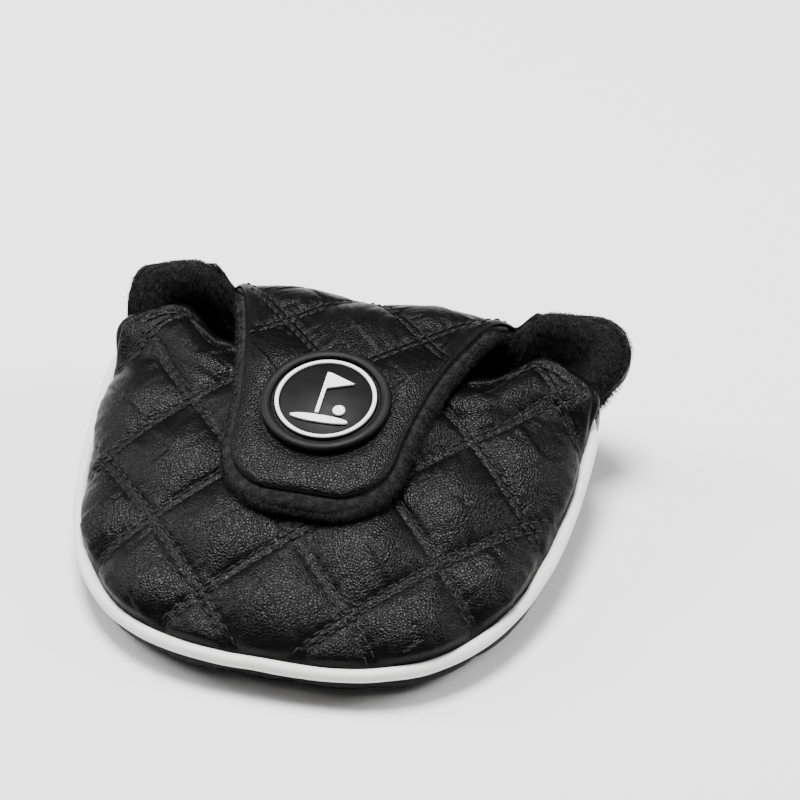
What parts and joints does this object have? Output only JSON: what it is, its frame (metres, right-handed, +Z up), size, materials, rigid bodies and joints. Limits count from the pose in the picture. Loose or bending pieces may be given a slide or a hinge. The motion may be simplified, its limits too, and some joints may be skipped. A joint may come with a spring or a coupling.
{
  "type": "putter head cover",
  "caption": "Quilted synthetic leather head cover for a mallet putter: plush-lined padded pocket, piped seam and a magnetic flap that folds over the mouth",
  "frame": {"origin": "middle of the bottom of the bounding box, on the surface the sole rests on", "axes": "+Z is up; +X runs along the putter head from heel to toe, the widest way; +Y points to the face wall, and the closed flap lies towards -Y"},
  "size_m": [0.1358, 0.1154, 0.0435],
  "materials": {
    "leather": "black pebble-grained synthetic leather, semi-gloss",
    "foam": "grey polyurethane foam wadding",
    "plush": "black deep-pile plush",
    "piping": "off-white smooth piping tape",
    "cord": "twisted cotton filler cord",
    "rubber": "matte black moulded rubber",
    "white_rubber": "white moulded rubber inlay",
    "thread": "black bonded polyester thread",
    "magnet": "nickel-plated neodymium disc"
  },
  "bodies": {
    "cover": {"sole_shell": "leather", "crown_shell": "leather", "face_shell": "leather", "sole_foam": "foam", "crown_foam": "foam", "face_foam": "foam", "sole_lining": "plush", "crown_lining": "plush", "face_lining": "plush", "piping_cover": "piping", "piping_cord": "cord", "crown_quilt_thread_one_way": "thread", "crown_quilt_thread_other_way": "thread", "mouth_hem_thread": "thread", "crown_magnet_left": "magnet", "crown_magnet_right": "magnet"},
    "flap": {"flap_shell": "leather", "flap_foam": "foam", "flap_lining": "plush", "badge_base": "rubber", "badge_ring": "white_rubber", "badge_flag": "white_rubber", "badge_ball": "white_rubber", "badge_green": "white_rubber", "badge_thread": "thread", "flap_quilt_thread_left_lower": "thread", "flap_quilt_thread_left_upper": "thread", "flap_quilt_thread_right_lower": "thread", "flap_quilt_thread_right_upper": "thread", "flap_magnet_left": "magnet", "flap_magnet_right": "magnet"}
  },
  "joints": [
    {"name": "flap_fold", "type": "hinge", "parent": "cover", "child": "flap", "pos_m": [0, 0.05356, 0.03474], "axis": [-1, 0, 0], "range_deg": [0, 170]}
  ]
}
